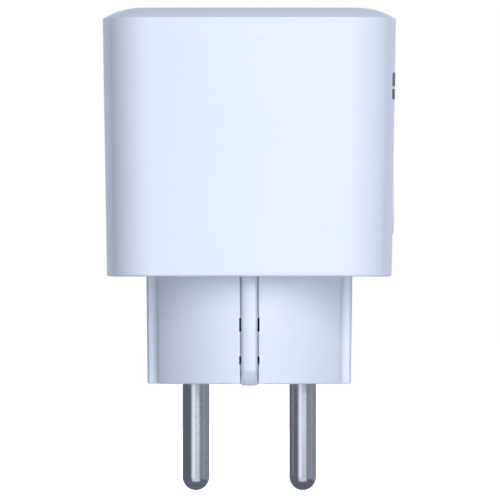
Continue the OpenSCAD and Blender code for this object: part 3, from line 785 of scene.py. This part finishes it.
def screws(name, places, head_r, head_h, shank_r, way=1):
    """Pan-head screws with a cross recess and a thread; way is 1 when the head is at the lower end."""
    low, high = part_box(name)
    face, tip = (low.z, high.z) if way > 0 else (high.z, low.z)
    seat = face + way * head_h
    core_r = 0.78 * shank_r
    pitch = 0.8 * MM
    crown = [(head_r * sin(t), face + way * 0.55 * head_h * (1 - cos(t))) for t in quarter(8)]
    crown[0] = (0, face)
    thread = []
    turns = int((abs(tip - seat) - 2 * pitch) / pitch)
    for i in range(turns):
        z = seat + way * (0.5 + i) * pitch
        thread += [(core_r, z), (shank_r, z + way * 0.4 * pitch), (shank_r, z + way * 0.5 * pitch)]
    profile = crown + [(head_r, seat), (core_r, seat)] + thread
    profile += [(0.7 * shank_r, tip - way * pitch), (0, tip)]
    recess = ((0.66, 0.15, face - way * OVER), (0.62, 0.14, face), (0.30, 0.08, face + way * 0.7 * head_h))
    parts = []
    for x, y in places:
        screw = as_object("screw", lathe(profile, x, y, 40))
        centre = Vector((x, y))
        loops = [at([centre + p for p in cross(arm * head_r, width * head_r)], z) for arm, width, z in recess]
        cut(screw, [as_object("recess", skin(loops))])
        bm = bmesh.new()
        bm.from_mesh(screw.data)
        parts.append(bm)
        bpy.data.objects.remove(screw)
    finish_piece(as_object(name + "_visual", merged(parts)), [name], "screw_steel")


# ---- Socket ----

def socket_cup():
    """The recess: round cup with guide ribs, slots for the earth clips, entry holes and lugs."""
    fillet = 0.8 * MM
    edge = 0.06 * MM
    wall_steps = 6
    wall_low, wall_high = Z_RECESS + fillet, Z_CEILING - 0.1 * MM
    profile = [(0, Z_CUP), (CUP_R, Z_CUP), (CUP_R, Z_CEILING), (RECESS_R + edge, Z_CEILING),
               (RECESS_R, Z_CEILING - edge)]
    profile += [(RECESS_R, wall_high + (wall_low - wall_high) * k / wall_steps) for k in range(1, wall_steps)]
    profile += [(RECESS_R - fillet * (1 - cos(t)), Z_RECESS + fillet * (1 - sin(t))) for t in quarter(6)]
    profile += [(12 * MM, Z_RECESS), (0, Z_RECESS)]
    cup = as_object("socket_cup_visual", lathe(profile, count=128))

    rail_half, rail_round = 2.4 * MM, 0.35 * MM
    lug_r, sunk = 2.2 * MM, 0.3 * MM
    rails, lugs = [], []
    for s in SIDES:
        x0, x1 = sorted((s * (RECESS_R - 1.2 * MM), s * (CUP_R - 0.5 * MM)))
        low, high = (x0, -rail_half, Z_RECESS - OVER), (x1, rail_half, Z_CEILING - 1 * MM)
        rails.append(rounded_box("rail", low, high, rail_round))
        lugs.append(as_object("lug", lathe([(lug_r, cup_lo.z), (lug_r, Z_CUP + sunk)], 0, s * LUG_Y, 40)))
    join(cup, rails + lugs)

    slot_half, slot_reach = 2.4 * MM, 2.5 * MM
    mouth_r = ENTRY_R + 0.5 * MM
    mouth = [(ENTRY_R, Z_CUP - OVER), (ENTRY_R, Z_RECESS - 0.45 * MM),
             (ENTRY_R + 0.15 * MM, Z_RECESS - 0.2 * MM), (mouth_r, Z_RECESS), (mouth_r, Z_RECESS + OVER)]
    tools = []
    for s in SIDES:
        tools.append(as_object("entry", lathe(mouth, s * PIN_X, 0, 64)))
        y0, y1 = sorted((s * (RECESS_R - slot_reach), s * (RECESS_R + slot_reach)))
        low, high = (-slot_half, y0, Z_RECESS + 0.3 * MM), (slot_half, y1, Z_CEILING - 0.8 * MM)
        tools.append(as_object("slot", box_mesh(low, high)))
    cut(cup, tools)
    finish_piece(cup, ["socket_cup"], "base_white")


def earth_clip(name, turn):
    """A bowed clip that stands in its slot and springs against the appliance's plug."""
    reach = -clip_hi.y
    ring_r = 8 * MM
    centre_z = (clip_lo.z + clip_hi.z) / 2
    swing = radians(59)
    steps = 24
    path = []
    for i in range(steps + 1):
        t = swing - 2 * swing * i / steps
        path.append((-reach - ring_r + ring_r * cos(t), centre_z + ring_r * sin(t)))
    bm = sweep_strip(path, strip_section(4.0 * MM, 0.12 * MM, 0.7 * MM, 0.15 * MM))
    bmesh.ops.rotate(bm, cent=(0, 0, 0), matrix=Matrix.Rotation(turn, 3, "Z"), verts=bm.verts)
    finish_piece(as_object(name + "_visual", bm), [name], "spring_bronze")


def shutter_spring():
    """Torsion coil whose lower end stays in the block; its upper leg, which turns with the shutter in the
    real socket, rides on no body here.
    """
    coil_r, wire_r, leg_r = 3.3 * MM, 0.25 * MM, 0.3 * MM
    pitch = 0.62 * MM
    turns = 3
    steps, sides = 40, 12
    low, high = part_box("shutter_spring")
    start = low.z + wire_r
    end = start + pitch * turns
    loops = []
    for i in range(turns * steps + 1):
        turn = 2 * pi * i / steps
        z = start + pitch * i / steps
        ring = []
        for j in range(sides):
            around = 2 * pi * j / sides
            r = coil_r + wire_r * cos(around)
            ring.append(Vector((r * cos(turn), r * sin(turn), z + wire_r * sin(around))))
        loops.append(ring)
    spring = as_object("shutter_spring_visual", skin(loops))
    edge_r = 0.6 * leg_r
    leg = [(edge_r, end - leg_r), (leg_r, end - edge_r), (leg_r, high.z - 0.4 * leg_r), (edge_r, high.z)]
    join(spring, [as_object("leg", lathe(leg, coil_r, 0, 24))])
    finish_piece(spring, ["shutter_spring"], "screw_steel", body=None)
    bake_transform(spring)


# ---- Studio ----

LIGHT_TINT = (0.865, 0.915, 1.0)


def floor():
    """A plain pale floor just under the pins."""
    level = pin_lo.z - 3 * MM
    thickness = 5 * MM
    size = 6.0
    plan = [(-size, -size), (size, -size), (size, size), (-size, size)]
    obj = as_object("floor", skin([at(plan, z) for z in (level - thickness, level)]))
    material, tree, shader, where = blank("studio_floor")
    paint(tree, shader, noise(tree, where, 3), (0.90, 0.90, 0.91), (0.92, 0.92, 0.92))
    shader.inputs["Roughness"].default_value = 0.9
    shader.inputs["Emission Color"].default_value = (1, 1, 1, 1)
    shader.inputs["Emission Strength"].default_value = 1.0
    obj.data.materials.append(material)
    obj.visible_diffuse = False
    obj.visible_glossy = False
    obj.visible_shadow = False


def softbox(name, azimuth, elevation, width, height, watts, sheen=True, wash=True, distance=1.5):
    """An area light that faces the object; azimuth 0 is the camera's side, 90 the button's.

    sheen=False keeps it out of reflections, and wash=False leaves only its reflection.
    """
    a, e = radians(azimuth), radians(elevation)
    towards = Vector((sin(a) * cos(e), -cos(a) * cos(e), sin(e)))
    light = bpy.data.lights.new(name, "AREA")
    light.shape = "RECTANGLE"
    light.size = width
    light.size_y = height
    light.energy = watts
    light.color = LIGHT_TINT
    obj = bpy.data.objects.new(name, light)
    obj.location = Vector((0, 0, (Z_TOP + pin_lo.z) / 2)) + towards * distance
    obj.rotation_euler = towards.to_track_quat("Z", "Y").to_euler()
    obj.visible_camera = False
    obj.visible_glossy = sheen
    obj.visible_diffuse = wash
    bpy.context.scene.collection.objects.link(obj)


def recess_light():
    """A snooted lamp straight above that only fills the socket recess."""
    height = 1.5
    light = bpy.data.lights.new("recess_light", "SPOT")
    light.spot_size = 2 * atan2(RECESS_R, height)
    light.spot_blend = 0.3
    light.shadow_soft_size = 0.08
    light.energy = 60
    light.color = LIGHT_TINT
    obj = bpy.data.objects.new("recess_light", light)
    obj.location = (0, 0, Z_TOP + height)
    obj.visible_glossy = False
    bpy.context.scene.collection.objects.link(obj)


def studio():
    scene = bpy.context.scene
    scene.view_settings.view_transform = "Standard"
    world = bpy.data.worlds.new("studio")
    world.use_nodes = True
    scene.world = world
    tree = world.node_tree
    tree.nodes.clear()
    backdrop = add(tree, "ShaderNodeBackground", {"Color": (1, 1, 1, 1), "Strength": 1.0})
    ambient = add(tree, "ShaderNodeBackground", {"Color": (0.72, 0.77, 1.0, 1), "Strength": 0.215})
    seen = add(tree, "ShaderNodeLightPath").outputs["Is Camera Ray"]
    chosen = add(tree, "ShaderNodeMixShader", {0: seen, 1: ambient.outputs[0], 2: backdrop.outputs[0]})
    add(tree, "ShaderNodeOutputWorld", {"Surface": chosen.outputs[0]})
    softbox("key", 16, 24, 1.0, 1.0, 13.4)
    softbox("fill", -24, 8, 0.9, 1.2, 1.9)
    softbox("mid", 0, 0, 1.8, 0.6, 2.1)
    softbox("low", 8, -26, 1.6, 0.8, 8.0, sheen=False)
    softbox("back_right", 130, 30, 0.7, 0.9, 4.6, sheen=False)
    softbox("back_left", -130, 30, 0.7, 0.9, 5.4, sheen=False)
    softbox("back_right_low", 130, -30, 0.7, 0.9, 6.4, sheen=False)
    softbox("back_left_low", -130, -30, 0.7, 0.9, 2.6, sheen=False)
    softbox("back", 180, 5, 1.3, 1.0, 5.0)
    recess_light()
    softbox("low_glint", 0, -28, 1.9, 0.8, 3.8, wash=False)
    softbox("right_glint", 60, 0, 1.2, 1.0, 0.7, wash=False)
    softbox("side_glint", 104, 0, 1.6, 1.0, 1.0, wash=False)


def camera():
    """Level, square on to the front wall, and far enough away to look parallel."""
    frame_width = 89.0 * MM
    data = bpy.data.cameras.new("camera")
    data.sensor_width = 36
    data.lens = 1400
    data.clip_end = 50
    obj = bpy.data.objects.new("camera", data)
    distance = frame_width * data.lens / data.sensor_width
    obj.location = (0.12 * MM, -distance, 23.75 * MM)
    obj.rotation_euler = (pi / 2, 0, 0)
    bpy.context.scene.collection.objects.link(obj)
    bpy.context.scene.camera = obj


camera()
housing()
cover()
plug_base()
plug_pin("live_pin", -1)
plug_pin("neutral_pin", 1)
earth_strip("front_earth_strip", 0)
earth_strip("rear_earth_strip", pi)
button()
badge()
socket_cup()
earth_clip("front_earth_clip", 0)
earth_clip("rear_earth_clip", pi)
shutter_spring()
screws("housing_screws", POSTS, *LONG_SCREW)
screws("block_screws", [(0, -LUG_Y), (0, LUG_Y)], *SMALL_SCREW)
screws("clamp_screws", [(0, -CLAMP_Y), (0, CLAMP_Y)], *SMALL_SCREW, way=-1)
screws("board_screws", BOARD_FIXINGS, *SMALL_SCREW, way=-1)
for row in frame["record"]["subparts"]:
    mesh = frame["nodes"][row["node"]].data
    mesh.materials.clear()
    mesh.materials.append(MATERIALS[row["material_slot"]])
floor()
studio()
